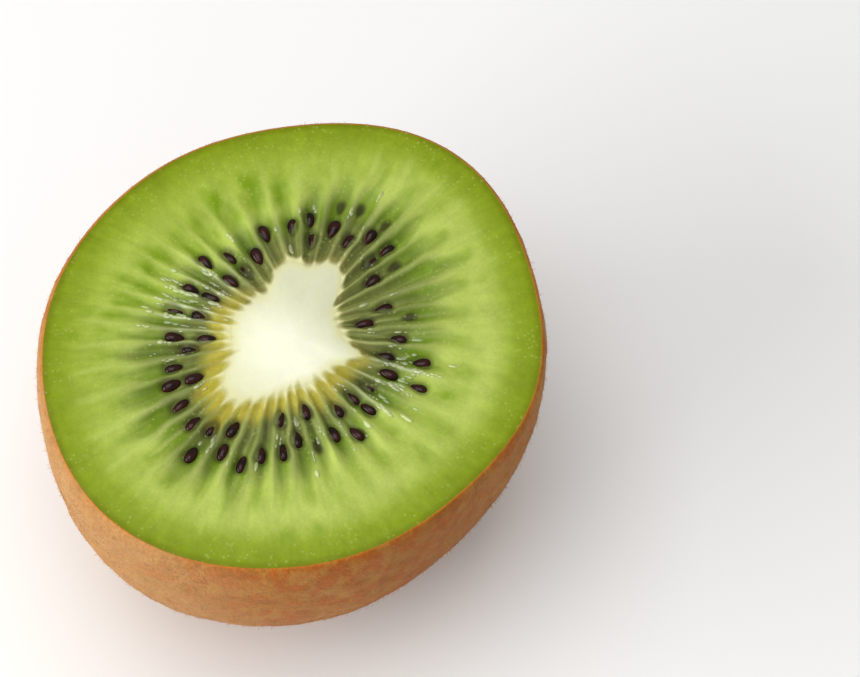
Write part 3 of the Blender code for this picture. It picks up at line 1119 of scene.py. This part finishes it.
def joined_balls(name, balls, ball_faces):
    """One piece from balls that have the same faces, each with its own points."""
    faces = []
    for number, ball in enumerate(balls):
        faces += [[number * len(ball) + corner for corner in face] for face in ball_faces]
    return new_piece(name, np.concatenate(balls), faces)


def make_seeds(seeds):
    """The seeds, each a little different, blunt outwards and narrower towards the core."""
    draw = np.random.default_rng(41)
    ball, ball_faces = unit_ball(18, 12)
    along = ball[:, 2]
    balls = []
    for spot, heading in seeds:
        narrowed = 1 + draw.uniform(0.1, 0.3) * along
        size = draw.uniform(0.82, 1.02)
        local = size / 2 * np.column_stack([
            SEED_LENGTH * along,
            SEED_WIDTH * draw.uniform(0.85, 1.0) * narrowed * ball[:, 0],
            SEED_THICKNESS * narrowed * ball[:, 1],
        ])
        turn = Matrix.Rotation(heading + draw.normal(0, 0.14), 3, "Z")
        turn = turn @ Matrix.Rotation(draw.normal(0, 0.12), 3, "Y")
        turn = turn @ Matrix.Rotation(draw.normal(0, 0.25), 3, "X")
        height = HEIGHT - DISH * 0.7 - CHAMBER_DEPTH * 0.9 - SEED_SINK - draw.uniform(0, 0.3)
        balls.append(local @ np.array(turn).T + np.array([*spot, height]))
    piece = joined_balls("kiwi_seeds", balls, ball_faces)
    dress(piece, seed_material(), "kiwi_flesh")


def juice_material():
    material, tree, shader = new_material("kiwi juice")
    tint = noise_texture(tree, object_place(tree), scale=500, detail=1.0)
    fill(tree, shader, {
        "Base Color": shaded(tree, mapped(tree, tint, 0.35, 0.65, 0.9, 1.1)),
        "Roughness": 0.35,
        "Coat Weight": 1.0,
        "Coat Roughness": 0.15,
    })
    return material


def juice_columns(draw):
    """The columns of the strings, most of them in the patches, each on a ray or in a chamber."""
    patch = draw.choice(len(JUICE_CHANCES), JUICE_STRINGS, p=JUICE_CHANCES)
    columns = [draw.normal(middle, spread, JUICE_STRINGS) for middle, spread in JUICE_PATCHES]
    column = np.choose(patch, [*columns, draw.uniform(0, 360, JUICE_STRINGS)])
    on_ray = draw.random(JUICE_STRINGS) < JUICE_ON_RAYS
    by_ray = draw.normal(0, 0.06, JUICE_STRINGS)
    aside = np.where(on_ray, by_ray, 0.5 + draw.normal(0, 0.16, JUICE_STRINGS))
    return 360 * (np.floor(column * CHAMBERS / 360) + aside) / CHAMBERS


def make_juice(seeds):
    """Small beads of juice in short strings along the rays and the chambers."""
    draw = np.random.default_rng(63)
    ball, ball_faces = unit_ball(9, 6)
    column = juice_columns(draw)
    from_core = draw.gamma(6.0, 0.95, JUICE_STRINGS)
    beads = draw.integers(1, 4, JUICE_STRINGS)
    column = np.repeat(column, beads) + draw.normal(0, 0.25, beads.sum())
    steps = np.concatenate([np.arange(number) * BEAD_SPACING for number in beads])
    start, end = ray_ends(column)
    ray = end - start
    length = np.hypot(*ray.T)
    share = np.clip((np.repeat(from_core, beads) + steps) / length, 0.03, 0.95)
    grid = chamber_places(column, share, ray_point(column, share), share * length)
    clear = around_seeds(grid.flat, seeds) > 1.15
    clear &= grid.reached < 1.05
    # The beads take the flesh's tone below them, a fifth of the way to a pale that is partly a painted glint
    tone = mix(flesh_tone(grid, seeds), JUICE_AND_GLINT, np.full(len(column), 0.2))[clear]
    height = face_height(grid, seeds)
    size = 0.1 + 0.16 * draw.random(len(column)) ** 2
    stretch = draw.uniform(1.3, 2.8, len(column))
    heading = np.arctan2(ray[:, 1], ray[:, 0])
    balls = []
    for at in np.nonzero(clear)[0]:
        local = ball * np.array([size[at] * stretch[at], size[at], size[at] * BEAD_FLATNESS])
        turn = np.array(Matrix.Rotation(heading[at], 3, "Z"))
        balls.append(local @ turn.T + np.array([*grid.flat[at], height[at]]))
    piece = joined_balls("kiwi_juice", balls, ball_faces)
    paint(piece, np.repeat(tone, len(ball), axis=0))
    dress(piece, juice_material(), "kiwi_flesh")


# The stage

def make_floor():
    bpy.ops.mesh.primitive_plane_add(size=FLOOR_SIZE * MM, location=(0, 0, 0))
    floor = bpy.context.object
    floor.name = "floor"
    material, tree, shader = new_material("floor")
    fill(tree, shader, {"Base Color": FLOOR_COLOUR, "Roughness": 0.9})
    floor.data.materials.append(material)


def aim(thing, place, target, roll=0.0):
    """Puts a camera or a lamp at a place, pointing at a target, both in millimetres."""
    direction = Vector(target) - Vector(place)
    turn = direction.to_track_quat("-Z", "Y").to_matrix().to_4x4()
    turn = turn @ Matrix.Rotation(math.radians(roll), 4, "Z")
    thing.matrix_world = Matrix.Translation(Vector(place) * MM) @ turn


def make_lights():
    for name, place, size, power in LAMPS:
        lamp = bpy.data.lights.new(name, "AREA")
        lamp.size = size * MM
        lamp.energy = power
        aim(new_object(name, lamp), place, (0, 0, HEIGHT))
    world = bpy.data.worlds.new("studio")
    world.use_nodes = True
    tree = world.node_tree
    fill(tree, tree.nodes["Background"], {"Color": WHITE, "Strength": STUDIO_LIGHT})
    bpy.context.scene.world = world
    bpy.context.scene.view_settings.view_transform = "Standard"


def make_camera():
    lens = bpy.data.cameras.new("camera")
    lens.sensor_fit = "HORIZONTAL"
    lens.sensor_width = SENSOR_WIDTH
    lens.lens = CAMERA_LENS
    lens.clip_start = CLIP_START * MM
    camera = new_object("camera", lens)
    aim(camera, CAMERA_PLACE, CAMERA_TARGET, CAMERA_ROLL)
    bpy.context.scene.camera = camera


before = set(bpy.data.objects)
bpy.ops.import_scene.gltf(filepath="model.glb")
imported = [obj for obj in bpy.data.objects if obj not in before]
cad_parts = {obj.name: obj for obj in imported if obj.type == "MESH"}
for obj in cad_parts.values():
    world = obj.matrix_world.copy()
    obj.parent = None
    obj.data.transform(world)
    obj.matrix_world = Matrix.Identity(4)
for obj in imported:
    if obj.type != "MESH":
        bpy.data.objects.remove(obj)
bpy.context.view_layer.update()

make_camera()
make_lights()
make_floor()
seeds = seed_places()
make_flesh(seeds)
make_core()
make_skin()
make_fuzz()
make_seeds(seeds)
make_juice(seeds)
